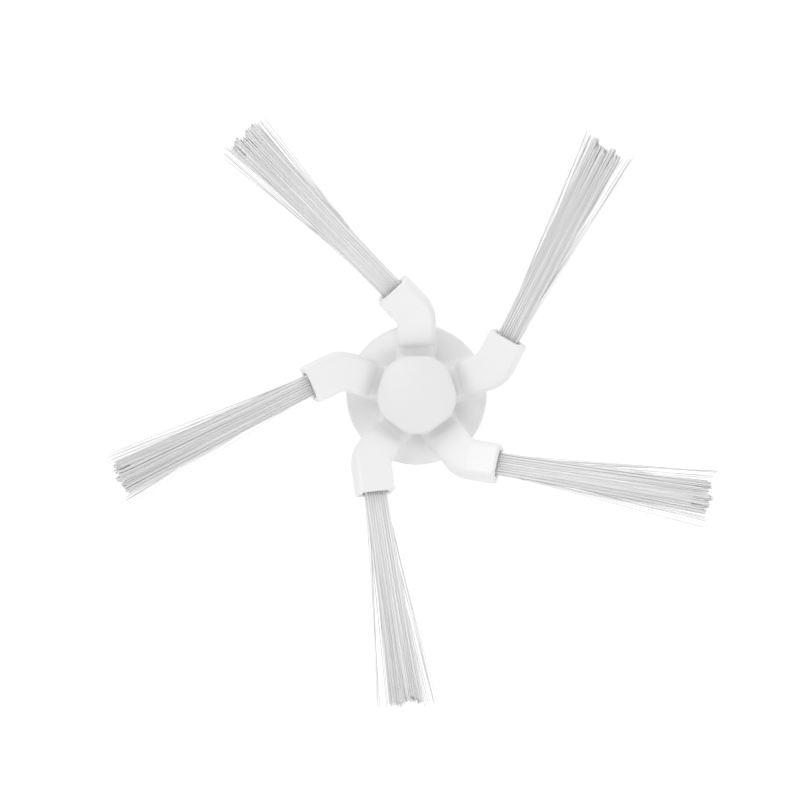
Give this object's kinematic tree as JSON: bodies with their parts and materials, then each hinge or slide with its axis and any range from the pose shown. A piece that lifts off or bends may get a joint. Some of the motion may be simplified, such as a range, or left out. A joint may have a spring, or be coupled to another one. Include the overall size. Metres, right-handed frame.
{
  "type": "robot vacuum side brush",
  "caption": "Side brush of a robot vacuum cleaner: a domed flange with sloping, bent arms that each hold a tuft of bristles, round a rigid core with a square drive socket.",
  "frame": {"origin": "on the axis that the brush turns about, in the plane of the flange's back edge and of the drive socket's mouth", "axes": "+Z along the turning axis, from the robot's side towards the floor's side; +Y along the root of the first arm; +X completes the right-handed frame"},
  "size_m": [0.1528, 0.1485, 0.0297],
  "materials": {
    "core_plastic": "fine satin, white",
    "soft_moulding": "satin white thermoplastic elastomer",
    "bristles": "pale, slightly translucent nylon filament"
  },
  "bodies": {
    "root": {"drive_core": "core_plastic", "arm_moulding": "soft_moulding", "bristle_tuft_1": "bristles", "bristle_tuft_2": "bristles", "bristle_tuft_3": "bristles", "bristle_tuft_4": "bristles", "bristle_tuft_5": "bristles"}
  },
  "joints": []
}
